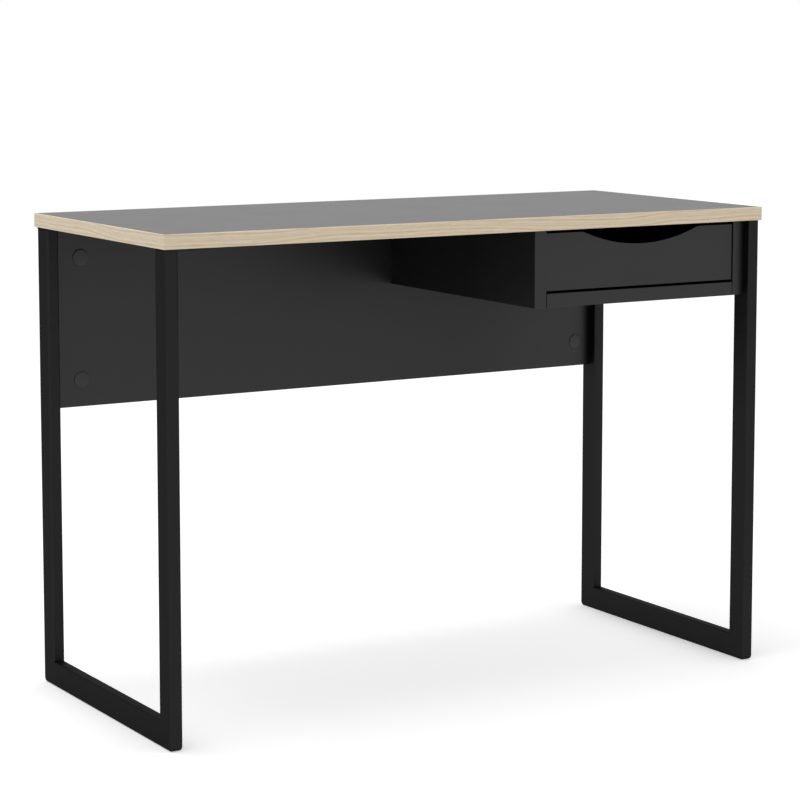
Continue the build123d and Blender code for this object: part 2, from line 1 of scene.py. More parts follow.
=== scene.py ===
import json
from math import radians
import bmesh
import bpy
import numpy as np
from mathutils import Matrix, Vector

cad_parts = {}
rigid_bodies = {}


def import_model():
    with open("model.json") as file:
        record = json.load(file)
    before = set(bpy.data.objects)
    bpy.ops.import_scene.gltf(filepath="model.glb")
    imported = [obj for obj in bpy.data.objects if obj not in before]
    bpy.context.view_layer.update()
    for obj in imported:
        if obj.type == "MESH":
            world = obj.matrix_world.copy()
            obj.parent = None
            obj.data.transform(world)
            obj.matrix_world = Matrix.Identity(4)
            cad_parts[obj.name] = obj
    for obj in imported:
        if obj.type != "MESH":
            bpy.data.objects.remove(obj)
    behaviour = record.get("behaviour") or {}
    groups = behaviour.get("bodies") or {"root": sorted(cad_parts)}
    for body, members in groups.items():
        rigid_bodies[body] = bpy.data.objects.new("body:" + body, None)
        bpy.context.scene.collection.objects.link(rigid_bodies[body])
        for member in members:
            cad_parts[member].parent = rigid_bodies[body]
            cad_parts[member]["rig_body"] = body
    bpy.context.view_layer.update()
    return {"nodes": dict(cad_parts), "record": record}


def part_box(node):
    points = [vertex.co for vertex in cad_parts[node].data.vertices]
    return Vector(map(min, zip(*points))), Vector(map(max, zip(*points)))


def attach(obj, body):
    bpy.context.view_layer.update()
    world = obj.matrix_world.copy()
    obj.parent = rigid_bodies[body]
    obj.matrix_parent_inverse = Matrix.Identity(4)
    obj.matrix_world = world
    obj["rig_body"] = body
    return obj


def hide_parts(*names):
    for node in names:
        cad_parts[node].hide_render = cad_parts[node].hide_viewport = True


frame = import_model()
scene = bpy.context.scene
scene.view_settings.view_transform = "Standard"


# sRGB hex to linear RGBA
def linear(hexColour):
    share = np.array([int(hexColour[i:i + 2], 16) for i in (1, 3, 5)]) / 255
    curve = np.where(share <= 0.04045, share / 12.92, ((share + 0.055) / 1.055) ** 2.4)
    return (*curve.tolist(), 1.0)


# one node with its settings; an input given as a socket is linked, anything else is set as its value
def addNode(tree, kind, inputs=None, **settings):
    node = tree.nodes.new(kind)
    for name, value in settings.items():
        setattr(node, name, value)
    for socket, value in (inputs or {}).items():
        if isinstance(value, bpy.types.NodeSocket):
            tree.links.new(value, node.inputs[socket])
        else:
            node.inputs[socket].default_value = value
    return node


# an empty material, its node tree and the place on the object in metres
def startMaterial(name):
    material = bpy.data.materials.new(name)
    material.use_nodes = True
    tree = material.node_tree
    tree.nodes.clear()
    return material, tree, addNode(tree, "ShaderNodeTexCoord").outputs["Object"]


# the material's shader with all its inputs, joined to the output
def closeMaterial(tree, inputs):
    shader = addNode(tree, "ShaderNodeBsdfPrincipled", inputs)
    addNode(tree, "ShaderNodeOutputMaterial", {"Surface": shader.outputs["BSDF"]})


# features per metre for a pattern of this size
def perMetre(millimetres):
    return 1000 / millimetres


mm = 0.001
noiseSpan = (0.3, 0.7)      # most of a noise's values lie between these

# Black melamine on chipboard, pressed against a fine pearl plate: dull near-black that turns to a pale
# grey sheen at a low angle, with a faint cloudiness in the gloss
melamine = {
    "colour": ("#070708", "#0b0b0c"),
    "cloud": 85,            # mm, the soft unevenness of the gloss
    "pearl": 1.6,           # mm, the real pearl is 0.3 mm and wouldn't show
    "pearlDepth": 0.012,    # mm
    "roughness": (0.375, 0.39),
    "ior": 1.5,
    "specular": 0.43,
}


def makeMelamine():
    material, tree, place = startMaterial("blackMelamine")
    cloud = addNode(tree, "ShaderNodeTexNoise", {
        "Vector": place, "Scale": perMetre(melamine["cloud"]), "Detail": 3.0, "Roughness": 0.55})
    tone = addNode(tree, "ShaderNodeValToRGB", {"Fac": cloud.outputs["Fac"]})
    for stop, position, colour in zip(tone.color_ramp.elements, noiseSpan, melamine["colour"]):
        stop.position, stop.color = position, linear(colour)
    dull = addNode(tree, "ShaderNodeMapRange", {
        "Value": cloud.outputs["Fac"], "From Min": noiseSpan[0], "From Max": noiseSpan[1],
        "To Min": melamine["roughness"][0], "To Max": melamine["roughness"][1]})
    pearl = addNode(tree, "ShaderNodeTexNoise", {
        "Vector": place, "Scale": perMetre(melamine["pearl"]), "Detail": 2.0})
    relief = addNode(tree, "ShaderNodeBump", {
        "Height": pearl.outputs["Fac"], "Distance": melamine["pearlDepth"] * mm})
    closeMaterial(tree, {
        "Base Color": tone.outputs["Color"], "Roughness": dull.outputs["Result"],
        "Normal": relief.outputs["Normal"], "IOR": melamine["ior"],
        "Specular IOR Level": melamine["specular"]})
    return material


# Light oak edge band: pale straw with growth lines that slant and close up where the log was cut across
# its rings, fine fibres along the band, short brown pores and a satin lacquer. x + y runs along all four
# bands, so one pattern turns the corners.
oak = {
    "colour": ("#ccb592", "#d8c7ab", "#e3d7c1"),
    "stops": (0.34, 0.5, 0.66),     # where the figure reaches each colour
    "ring": 3.0,            # mm between growth lines
    "swell": (300, 160),    # mm along and across, how soon the rings bend
    "bend": 15,             # growth lines crossed where the rings bend most
    "fibre": (38, 1.2),     # mm along and across
    "fibreShare": 0.5,      # of the figure, and the rest is growth lines
    "pore": (11, 0.8),      # mm, real pores are 0.2 mm wide and wouldn't show
    "poreEdge": (0.6, 0.72),        # of the pore noise, where a pore starts and where it is whole
    "poreDepth": 0.03,      # mm
    "poreTint": "#9c845f",
    "poreShare": 0.4,       # of the tint, in a whole pore
    "roughness": (0.55, 0.42),
    "ior": 1.46,
}


# A Mix node has A and B once for each kind of data, so its sockets go by number
def makeOak():
    material, tree, place = startMaterial("lightOak")
    parts = addNode(tree, "ShaderNodeSeparateXYZ", {"Vector": place})
    along = addNode(tree, "ShaderNodeMath", {0: parts.outputs["X"], 1: parts.outputs["Y"]}, operation="ADD")
    flat = addNode(tree, "ShaderNodeCombineXYZ", {"X": along.outputs["Value"], "Y": parts.outputs["Z"]})
    fields = []
    for size, detail in ((oak["swell"], 1.0), (oak["fibre"], 4.0), (oak["pore"], 2.0)):
        scale = (perMetre(size[0]), perMetre(size[1]), 1.0)
        run = addNode(tree, "ShaderNodeMapping", {"Vector": flat.outputs["Vector"], "Scale": scale})
        fields.append(addNode(tree, "ShaderNodeTexNoise", {
            "Vector": run.outputs["Vector"], "Scale": 1.0, "Detail": detail}).outputs["Fac"])
    swell, fibre, pore = fields
    level = addNode(tree, "ShaderNodeMath", {
        0: parts.outputs["Z"], 1: perMetre(oak["ring"])}, operation="MULTIPLY")
    count = addNode(tree, "ShaderNodeMath", {
        0: swell, 1: oak["bend"], 2: level.outputs["Value"]}, operation="MULTIPLY_ADD")
    rings = addNode(tree, "ShaderNodeTexNoise", {
        "W": count.outputs["Value"], "Scale": 1.0, "Detail": 2.0, "Roughness": 0.6}, noise_dimensions="1D")
    figure = addNode(tree, "ShaderNodeMix", {
        "Factor": oak["fibreShare"], 2: rings.outputs["Fac"], 3: fibre}, data_type="FLOAT")
    tone = addNode(tree, "ShaderNodeValToRGB", {"Fac": figure.outputs[0]})
    tone.color_ramp.elements.new(oak["stops"][1])
    for stop, position, colour in zip(tone.color_ramp.elements, oak["stops"], oak["colour"]):
        stop.position, stop.color = position, linear(colour)
    cut = addNode(tree, "ShaderNodeMapRange", {
        "Value": pore, "From Min": oak["poreEdge"][0], "From Max": oak["poreEdge"][1],
        "To Min": 0.0, "To Max": oak["poreShare"]})
    stained = addNode(tree, "ShaderNodeMix", {
        "Factor": cut.outputs["Result"], 6: tone.outputs["Color"], 7: linear(oak["poreTint"])},
        data_type="RGBA")
    dull = addNode(tree, "ShaderNodeMapRange", {
        "Value": fibre, "From Min": noiseSpan[0], "From Max": noiseSpan[1],
        "To Min": oak["roughness"][0], "To Max": oak["roughness"][1]})
    relief = addNode(tree, "ShaderNodeBump", {
        "Height": cut.outputs["Result"], "Distance": oak["poreDepth"] * mm}, invert=True)
    closeMaterial(tree, {
        "Base Color": stained.outputs[2], "Roughness": dull.outputs["Result"],
        "Normal": relief.outputs["Normal"], "IOR": oak["ior"]})
    return material


# Materials of one tone with a grain: two colours, the grain's size in mm along X, Y and Z and its depth in
# mm, two roughnesses, and whether it is a metal. An edge tint dims a metal's gloss at a low angle. Detail
# and stops are given where the grain is finer and sharper than the rest.
grained = {
    # Black finish foil on the drawer box: pressed pores run along the boards, a little glossier than the
    # fronts
    "box_board": {
        "name": "blackFoil", "colour": ("#151515", "#1d1c1c"), "grain": (60, 60, 1.5), "depth": 0.02,
        "roughness": (0.5, 0.38), "metallic": 0, "ior": 1.5, "detail": 4.0, "stops": (0.35, 0.65)},
    # Black powder coat with metal flake in it: a dry, even black with a sandy grain (0.3 mm in truth, drawn
    # coarser), about as dark at a low angle as face on
    "black_tube": {
        "name": "blackPowderCoat", "colour": ("#272727", "#2b2b2b"), "grain": (1.5, 1.5, 1.5), "depth": 0.03,
        "roughness": (0.45, 0.52), "metallic": 1, "edgeTint": "#b4b4b4"},
    # Zinc plated steel: bright, cool and slightly uneven where the plating dried
    "zinc": {
        "name": "zincPlatedSteel", "colour": ("#b9bdc2", "#d2d5d8"), "grain": (6, 6, 6), "depth": 0.01,
        "roughness": (0.26, 0.4), "metallic": 1},
    # Black zinc plated screws: dark, dry steel with a faint grey bloom
    "black_zinc": {
        "name": "blackZincPlatedSteel", "colour": ("#1a1a1b", "#232324"), "grain": (4, 4, 4), "depth": 0.01,
        "roughness": (0.45, 0.6), "metallic": 0, "ior": 1.5},
    # Cast zinc: dull grey with the grain of the mould
    "cam_metal": {
        "name": "castZinc", "colour": ("#8f9193", "#acadae"), "grain": (1.2, 1.2, 1.2), "depth": 0.03,
        "roughness": (0.42, 0.56), "metallic": 1},
    # Light epoxy coat on the runners: cream white with a soft orange peel
    "runner_coat": {
        "name": "lightEpoxyCoat", "colour": ("#cfcec7", "#dad9d3"), "grain": (3.5, 3.5, 3.5), "depth": 0.05,
        "roughness": (0.3, 0.4), "metallic": 0, "ior": 1.5},
    # Natural nylon: milky, waxy and a little worn on the tread
    "nylon": {
        "name": "naturalNylon", "colour": ("#dcd7c8", "#e8e4d9"), "grain": (5, 5, 5), "depth": 0.02,
        "roughness": (0.38, 0.5), "metallic": 0, "ior": 1.53},
    # Black polyethylene cap: moulded with a fine spark grain (0.2 mm in truth, drawn coarser), duller than
    # the board round it
    "black_cap": {
        "name": "blackPolyethylene", "colour": ("#121213", "#171718"), "grain": (1.4, 1.4, 1.4),
        "depth": 0.03, "roughness": (0.42, 0.5), "metallic": 0, "ior": 1.51},
    # Bare beech: warm tan with short darker flecks along the dowel
    "beech": {
        "name": "bareBeech", "colour": ("#b0875a", "#cfa877"), "grain": (1.2, 14, 1.2), "depth": 0.03,
        "roughness": (0.55, 0.68), "metallic": 0, "ior": 1.46},
    # Dark lacquered hardboard: brown-black with fine fibres lying every way
    "hardboard": {
        "name": "darkHardboard", "colour": ("#1d1a17", "#2b2520"), "grain": (4, 4, 4), "depth": 0.03,
        "roughness": (0.36, 0.5), "metallic": 0, "ior": 1.5},
}


def makeGrained(recipe):
    material, tree, place = startMaterial(recipe["name"])
    scale = tuple(perMetre(size) for size in recipe["grain"])
    run = addNode(tree, "ShaderNodeMapping", {"Vector": place, "Scale": scale})
    field = addNode(tree, "ShaderNodeTexNoise", {
        "Vector": run.outputs["Vector"], "Scale": 1.0, "Detail": recipe.get("detail", 3.0),
        "Roughness": 0.6})
    tone = addNode(tree, "ShaderNodeValToRGB", {"Fac": field.outputs["Fac"]})
    stops = recipe.get("stops", noiseSpan)
    for stop, position, colour in zip(tone.color_ramp.elements, stops, recipe["colour"]):
        stop.position, stop.color = position, linear(colour)
    dull = addNode(tree, "ShaderNodeMapRange", {
        "Value": field.outputs["Fac"], "From Min": noiseSpan[0], "From Max": noiseSpan[1],
        "To Min": recipe["roughness"][0], "To Max": recipe["roughness"][1]})
    relief = addNode(tree, "ShaderNodeBump", {
        "Height": field.outputs["Fac"], "Distance": recipe["depth"] * mm})
    surface = {
        "Base Color": tone.outputs["Color"], "Roughness": dull.outputs["Result"],
        "Normal": relief.outputs["Normal"], "Metallic": recipe["metallic"]}
    if "ior" in recipe:     # a metal keeps the default
        surface["IOR"] = recipe["ior"]
    if "edgeTint" in recipe:
        surface["Specular Tint"] = linear(recipe["edgeTint"])
    closeMaterial(tree, surface)
    return material


finish = {"black_board": makeMelamine(), "oak_band": makeOak()}
for slot, recipe in grained.items():
    finish[slot] = makeGrained(recipe)
slotOf = {row["node"]: row["material_slot"] for row in frame["record"]["subparts"]}
for node, slot in slotOf.items():
    mesh = frame["nodes"][node].data
    mesh.materials.clear()
    mesh.materials.append(finish[slot])
print("materials made:", len(finish))

# Sizes from here to the camera are in millimetres, and makePiece turns them into metres
mergeWithin = 0.0005        # points closer than this are one point
crispFrom = 38              # degrees, edges that turn more stay crisp


# A mesh from grids of points: neighbours in rows and columns are joined by four-sided faces, and the last
# column meets the first. Points that fall together, as at a pole or on a mitre, are merged.
def makePiece(name, grids, nodes):
    points, faces, start = [], [], 0
    for grid in grids:
        rows, columns = grid.shape[:2]
        row, column = np.meshgrid(np.arange(rows - 1), np.arange(columns), indexing="ij")
        here, beside = row * columns + column, row * columns + (column + 1) % columns
        quads = np.stack((here, beside, beside + columns, here + columns), -1)
        points.append(grid.reshape(-1, 3) * mm)
        faces.append(quads.reshape(-1, 4) + start)
        start += rows * columns
    mesh = bpy.data.meshes.new(name)
    mesh.from_pydata(np.concatenate(points).tolist(), [], np.concatenate(faces).tolist())
    shell = bmesh.new()
    shell.from_mesh(mesh)
    bmesh.ops.remove_doubles(shell, verts=shell.verts, dist=mergeWithin * mm)
    bmesh.ops.recalc_face_normals(shell, faces=shell.faces)
    shell.to_mesh(mesh)
    shell.free()
    mesh.shade_smooth()
    mesh.set_sharp_from_angle(angle=radians(crispFrom))
    mesh.materials.append(finish[slotOf[nodes[0]]])
    piece = bpy.data.objects.new(name, mesh)
    scene.collection.objects.link(piece)
    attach(piece, frame["nodes"][nodes[0]]["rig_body"])
    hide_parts(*nodes)


# equal angles once round
def fullTurn(columns):
    return np.linspace(0, 2 * np.pi, columns, endpoint=False)


# equal angles over a quarter turn, with both its ends
def quarterTurn(steps):
    return np.linspace(0, np.pi / 2, steps + 1)


# Sled frame: a rounded tube section carried down the front leg, along the floor and up the back leg. A point
# of the section lies d in from the frame's outer outline. Where d is less than the corner's radius, it goes
# round the corner on an arc of the radius that is left, and deeper points meet on the mitre.
sledFrame = {
    "round": 4,             # the tube's own edges
    "corner": 8,            # where the frame turns at the floor
    "steps": 10,            # along each quarter turn
    "guard": 0.4,           # narrow rows that keep the flat faces flat
}


def tubeSection(deep, half):
    edge, guard = sledFrame["round"], sledFrame["guard"]
    turn = quarterTurn(sledFrame["steps"])
    cos, sin = edge * np.cos(turn), edge * np.sin(turn)
    sideStops = np.array((edge + guard, sledFrame["corner"], deep - edge - guard))
    faceStops = np.array((-1, 1)) * (half - edge - guard)
    side, face = np.ones_like(sideStops), np.ones_like(faceStops)
    inset = np.concatenate((
        0 * face, edge - cos, sideStops, deep - edge + sin,
        deep * face, deep - edge + cos, sideStops[::-1], edge - sin))
    across = np.concatenate((
        faceStops, half - edge + sin, half * side, half - edge + cos,
        faceStops[::-1], edge - half - sin, -half * side, edge - half - cos))
    return inset, across


def makeSledFrame(side):
    low, high = (np.array(corner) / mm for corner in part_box(side + "_bottom_rail"))
    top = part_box(side + "_front_leg")[1].z / mm
    reach, guard, corner = high[1], sledFrame["guard"], sledFrame["corner"]
    d, across = tubeSection(high[2] - low[2], (high[0] - low[0]) / 2)
    centre, radius = np.maximum(corner, d), np.maximum(corner - d, 0)
    turn = quarterTurn(sledFrame["steps"])[:, None]
    legY, level = d - reach, np.full_like(d, top)
    y = np.vstack((
        np.full_like(d, legY.mean()), legY, legY,
        centre - reach - radius * np.cos(turn), centre - reach + guard))
    z = np.vstack((level, level, centre + guard, centre - radius * np.sin(turn), d))
    y, z = np.vstack((y, -y[::-1])), np.vstack((z, z[::-1]))
    x = np.tile(across, (len(y), 1))
    x[[0, -1]] = 0          # the leg ends close on their middle
    grid = np.stack((x + (low[0] + high[0]) / 2, y, z), -1)
    makePiece(side + "SledFrame", [grid], [side + "_front_leg", side + "_back_leg", side + "_bottom_rail"])


makeSledFrame("left")
makeSledFrame("right")
print("sled frames made")


# The box of each separate solid in a CAD node: points at one place, to a thousandth of a millimetre, share a
# label, and every face hands its lowest label to its corners until no label changes
def solidBoxes(node):
    mesh = frame["nodes"][node].data
    points = np.empty(len(mesh.vertices) * 3, np.float32)
    mesh.vertices.foreach_get("co", points)
    corners = np.empty(len(mesh.loops), np.int32)
    mesh.loops.foreach_get("vertex_index", corners)
    spots, same = np.unique((points.reshape(-1, 3) / mm).round(3), axis=0, return_inverse=True)
    faces = same.reshape(-1)[corners].reshape(-1, 3)
    label, before = np.arange(len(spots)), None
    while before is None or (label != before).any():
        before = label.copy()
        np.minimum.at(label, faces.reshape(-1), np.repeat(before[faces].min(1), 3))
    return [(spots[label == one].min(0), spots[label == one].max(0)) for one in np.unique(label)]


# A fitting's surface is made along Z with its face at 0, then set into each solid of its node: the solid's
# odd extent is the axis, and the face looks towards the heart of its sub-assembly, or away from it where
# look is -1
def makeFitting(name, node, shape, size, heart, look=1):
    grids = []
    for low, high in solidBoxes(node):
        extent, face = high - low, (low + high) / 2
        axis = np.argmax(np.abs(extent - np.median(extent)))
        outward, beside = np.zeros(3), np.zeros(3)
        outward[axis] = look * np.sign(heart[axis] - face[axis])
        beside[axis - 1] = 1        # square to the axis
        face[axis] += outward[axis] * extent[axis] / 2
        facing = np.stack((beside, np.cross(outward, beside), outward))
        grids.append(face + shape(size, extent[axis]) @ facing)
    makePiece(name, grids, [node])


# Rows of radius and height carried round Z: a row is one number, or one number for each angle
def turned(radius, height, columns):
    angle = fullTurn(columns)
    radius = np.vstack([np.broadcast_to(row, columns) for row in radius])
    height = np.vstack([np.broadcast_to(row, columns) for row in height])
    return np.stack((radius * np.cos(angle), radius * np.sin(angle), height), -1)


# Depth of a key's recess at x and y: a cross is where the lesser of the two is within the blade, a hexagon
# where the greatest of three slanting distances is within reach, and both have a steep wall
def keyDepth(radius, key, columns):
    angle = fullTurn(columns)
    x, y = radius[:, None] * np.cos(angle), radius[:, None] * np.sin(angle)
    if key["form"] == "cross":
        blade = key["blade"] / 2 - np.minimum(abs(x), abs(y))
        inside = np.minimum(blade, key["reach"] - np.hypot(x, y))
    else:
        partX, partY = x * np.cos(np.pi / 3), y * np.sin(np.pi / 3)
        slant = np.maximum(abs(partX + partY), abs(partX - partY))
        inside = key["reach"] - np.maximum(abs(x), slant)
    return key["depth"] * np.clip(inside / key["wall"], 0, 1)


# points round a screw or bolt, and rows in each pitch of its thread
threadColumns, rowsPerPitch = 40, 5


# A thread's radius by height and angle: a ridge on the core that climbs one pitch a turn and dies away at
# both ends
def threadRadius(rise, size):
    climb = (rise[:, None] / size["pitch"] - fullTurn(threadColumns) / (2 * np.pi)) % 1
    fade = np.clip(np.minimum(rise - rise[0], rise[-1] - rise) / size["pitch"], 0, 1)[:, None]
    return size["core"] + (size["crest"] - size["core"]) * (1 - abs(2 * climb - 1)) * fade


# Screw or bolt, crown at 0: a pointed thread, a plain neck, and a head that is a low dome, falling with the
# square of the radius, with a key's recess sunk into it
screwKinds = {
    "plateScrew": {
        "head": (3.9, 2.0, 0.9),        # radius, height and dome
        "crest": 2.0, "core": 1.35, "pitch": 1.8, "plain": 3, "point": 3, "proud": 0,
        "key": {"form": "cross", "blade": 0.9, "reach": 2.2, "depth": 1.0, "wall": 0.15}},
    "frameBolt": {
        "head": (6.4, 3.0, 0.3),
        "crest": 2.95, "core": 2.45, "pitch": 1.0, "plain": 16, "point": 0.8, "proud": 0.3,
        "key": {"form": "hexagon", "reach": 2.0, "depth": 1.8, "wall": 0.15}},
    "runnerScrew": {
        "head": (3.15, 0.7, 0.3),
        "crest": 2.0, "core": 1.35, "pitch": 1.8, "plain": 1.5, "point": 3, "proud": 0,
        "key": {"form": "cross", "blade": 0.8, "reach": 1.8, "depth": 0.45, "wall": 0.12}},
    "backScrew": {
        "head": (3.9, 1.5, 0.8),
        "crest": 2.0, "core": 1.35, "pitch": 2.0, "plain": 11, "point": 4, "proud": 0,
        "key": {"form": "cross", "blade": 0.9, "reach": 2.1, "depth": 0.8, "wall": 0.15}},
    "bottomScrew": {
        "head": (3.15, 1.0, 0.5),
        "crest": 1.5, "core": 1.0, "pitch": 1.5, "plain": 2, "point": 3, "proud": 0,
        "key": {"form": "cross", "blade": 0.8, "reach": 1.7, "depth": 0.5, "wall": 0.12}},
}
crownRows = np.array((0.97, *np.linspace(0.9, 0, 10)))      # shares of the head's radius
rimDrop = (1.3, 0.7)        # the rim lies this many domes down, but within this share of the head


def screwSurface(size, length):
    headRadius, headHeight, dome = size["head"]
    threadTop = -headHeight - size["plain"]
    rise = np.linspace(-length, threadTop, round(rowsPerPitch * (threadTop + length) / size["pitch"]))
    narrowing = np.clip((rise + length) / size["point"], 0, 1)[:, None]
    crown, fall = headRadius * crownRows, dome * crownRows ** 2
    sunk = keyDepth(crown, size["key"], threadColumns)
    rim = -min(rimDrop[0] * dome, rimDrop[1] * headHeight)
    radius = [*(threadRadius(rise, size) * narrowing), size["core"], headRadius, headRadius, *crown]
    height = [*rise, -headHeight, -headHeight, rim, *(-fall[:, None] - sunk)]
    return turned(radius, height, threadColumns) + (0, 0, size["proud"])


# Cam drum, face at 0: a flat face with a sunk cross and a turned groove, a thin bevelled rim that may stand
# on the board and cover the hole's edge, and a plain body
drumKinds = {
    "boardDrum": {
        "rim": (7.7, 0.25),             # radius, and how far it stands on the board
        "groove": (5.6, 6.3, 0.3),      # inner and outer radius, and depth
        "body": 7.2, "columns": 64,
        "key": {"form": "cross", "blade": 1.6, "reach": 4.3, "depth": 2.6, "wall": 0.2}},
    "panelDrum": {
        "rim": (12.0, 0),
        "groove": (9.5, 10.4, 0.4),
        "body": 12.0, "columns": 64,
        "key": {"form": "cross", "blade": 2.2, "reach": 6.5, "depth": 3.2, "wall": 0.3}},
}
drumBevel = (0.3, 0.2)      # in and down
drumRows = 12               # inside the groove


def drumSurface(size, length):
    rim, proud = size["rim"]
    inner, outer, deep = size["groove"]
    face = np.array((*np.linspace(0, inner, drumRows), inner, outer, outer, rim - drumBevel[0]))
    level = np.full_like(face, proud)
    level[drumRows:drumRows + 2] -= deep
    sunk = keyDepth(face, size["key"], size["columns"])
    radius = [*face, rim, rim, size["body"], size["body"], 0]
    height = [*(level[:, None] - sunk), proud - drumBevel[1], 0, 0, -length, -length]
    return turned(radius, height, size["columns"])


# Cover cap, crown at 0: a plug, then a thin disc whose rim is a quarter ellipse that runs into a faintly
# domed face, falling with the square of the radius
coverCap = {
    "radius": 13.65, "proud": 1.8, "dome": 0.3, "plug": 11.9, "columns": 96,
    "rim": (1.8, 1.3),      # width and height of the ellipse
    "rimSteps": 8,
    "drawnIn": 0.1,         # the disc's edge at the panel
    "faceRows": (0.95, 8),  # where they start, as a share of the face's radius, and how many
}


def capSurface(size, length):
    bend = quarterTurn(size["rimSteps"])
    wide, tall = size["rim"]
    shoulder, dome = size["radius"] - wide, size["dome"]
    start, rows = size["faceRows"]
    share = np.linspace(start, 0, rows)
    radius = [0, size["plug"], size["plug"], size["radius"] - size["drawnIn"],
              *(shoulder + wide * np.cos(bend)), *(shoulder * share)]
    height = [-length, -length, -size["proud"], -size["proud"],
              *(tall * np.sin(bend) - tall - dome), *(-dome * share ** 2)]
    return turned(radius, height, size["columns"])


# Roller, one face at 0: half the section is hub ring, sunk web and a tread with a quarter-circle edge, and
# its mirror image closes the outline, which is carried round the axle
roller = {
    "radius": 8.98, "bore": 3.1, "edge": 0.8, "edgeSteps": 6, "columns": 72,
    "web": (4.6, 7.3, 0.7),     # inner and outer radius, and depth
    "slope": 0.3,               # of the web's walls and the bore's bevel
}


def rollerSurface(size, length):
    bend = quarterTurn(size["edgeSteps"])
    inner, outer, deep = size["web"]
    slope, edge, bore, half = size["slope"], size["edge"], size["bore"], length / 2
    radius = np.array((bore, bore + slope, inner, inner + slope, outer - slope, outer,
                       *(size["radius"] - edge + edge * np.sin(bend))))
    height = np.array((half - slope, half, half, half - deep, half - deep, half,
                       *(half - edge + edge * np.cos(bend))))
    radius = [*radius, *radius[::-1], radius[0]]
    height = [*height, *-height[::-1], height[0]]
    return turned(radius, height, size["columns"]) - (0, 0, half)


# Roller pin, head at 0: a straight journal and a thin head with a rounded rim and the dimple of a rivet
rollerPin = {
    "journal": 2.95, "columns": 48,
    "head": (4.45, 0.6),        # radius and height, and below, shares of them from the journal to the dimple
    "outline": ((0.96, 1), (1, 0.85), (1, 0.4), (0.93, 0.12), (0.77, 0), (0.5, 0), (0.38, 0.35),
                (0.24, 0.5), (0, 0.5)),
}


def pinSurface(size, length):
    headRadius, headHeight = size["head"]
    share, fall = np.array(size["outline"]).T
    radius = [0, size["journal"], size["journal"], *(headRadius * share)]
    height = [-length, -length, -headHeight, *(-headHeight * fall)]
    return turned(radius, height, size["columns"])


# Fluted dowel, one end at 0: the radius dips with the cosine of the angle, in flutes that lean round the
# dowel, between bevelled ends
dowelKinds = {
    "caseDowel": {"radius": 3.95, "flutes": 16, "dip": 0.3, "lean": 0.012, "bevel": 0.8, "columns": 96},
    "drawerDowel": {"radius": 2.95, "flutes": 12, "dip": 0.25, "lean": 0.012, "bevel": 0.6, "columns": 72},
}
dowelRows = 9


def dowelSurface(size, length):
    bevel = size["bevel"]
    body = np.linspace(-bevel, bevel - length, dowelRows)
    leaning = fullTurn(size["columns"]) + size["lean"] * body[:, None]
    flute = 0.5 + 0.5 * np.cos(size["flutes"] * leaning)
    radius = [0, size["radius"] - bevel, *(size["radius"] - size["dip"] * flute), size["radius"] - bevel, 0]
    return turned(radius, [0, 0, *body, -length, -length], size["columns"])


# Cam bolt, head at 0: a rounded head, the waist that the cam grips, a shank with a collar, and a thread
camBolt = {
    "head": (3, 2.95),      # length and radius
    "headEnd": (0.5, 0.85),     # length, and share of the radius, where it is rounded at both ends
    "waist": (4.5, 2.1),
    "waistSlope": (0.4, 0.2),   # at the shank and at the head
    "shank": 2.5, "collar": 1.2, "thread": 11, "crest": 2.95, "core": 2.3, "pitch": 1.6,
}


def camBoltSurface(size, length):
    headLength, headRadius = size["head"]
    endLength, endRadius = size["headEnd"][0], size["headEnd"][1] * headRadius
    waistLength, waist = size["waist"]
    shankSlope, headSlope = size["waistSlope"]
    threadTop, shankTop = size["thread"] - length, -headLength - waistLength
    collarTop = threadTop + size["collar"]
    rise = np.linspace(-length, threadTop, round(rowsPerPitch * size["thread"] / size["pitch"]))
    radius = [0, *threadRadius(rise, size), headRadius, headRadius, size["shank"], size["shank"],
              waist, waist, endRadius, headRadius, headRadius, endRadius, 0]
    height = [-length, *rise, threadTop, collarTop, collarTop, shankTop, shankTop + shankSlope,
              -headLength - headSlope, -headLength, endLength - headLength, -endLength, 0, 0]
    return turned(radius, height, threadColumns)


# Every fitting: its piece, its node, its surface and sizes, the heart that it looks to, and -1 where it
# looks away
deskHeart = np.zeros(3)
bayLow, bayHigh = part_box("case_bottom")
bayHeart = np.array(((bayLow.x + bayHigh.x) / 2 / mm, 0, 0))
fittings = [
    ("coverCaps", "modesty_cover_caps", capSurface, coverCap, deskHeart),
    ("legPlateScrews", "leg_plate_screws", screwSurface, screwKinds["plateScrew"], deskHeart),
    ("rightFrameBolts", "right_frame_bolts", screwSurface, screwKinds["frameBolt"], deskHeart),
    ("caseRunnerScrews", "case_runner_screws", screwSurface, screwKinds["runnerScrew"], bayHeart),
    ("drawerRunnerScrews", "drawer_runner_screws", screwSurface, screwKinds["runnerScrew"], bayHeart, -1),
    ("drawerBackScrews", "drawer_back_screws", screwSurface, screwKinds["backScrew"], bayHeart, -1),
    ("drawerBottomScrews", "drawer_bottom_screws", screwSurface, screwKinds["bottomScrew"], bayHeart),
    ("modestyCamDrums", "modesty_cam_drums", drumSurface, drumKinds["panelDrum"], deskHeart),
    ("caseCamDrums", "case_cam_drums", drumSurface, drumKinds["boardDrum"], bayHeart),
    ("drawerCamDrums", "drawer_cam_drums", drumSurface, drumKinds["boardDrum"], bayHeart),
    ("modestyCamBolts", "modesty_cam_bolts", camBoltSurface, camBolt, deskHeart),
    ("caseCamBolts", "case_cam_bolts", camBoltSurface, camBolt, bayHeart),
    ("drawerCamBolts", "drawer_cam_bolts", camBoltSurface, camBolt, bayHeart),
    ("caseDowels", "case_dowels", dowelSurface, dowelKinds["caseDowel"], bayHeart),
    ("drawerDowels", "drawer_dowels", dowelSurface, dowelKinds["drawerDowel"], bayHeart),
]
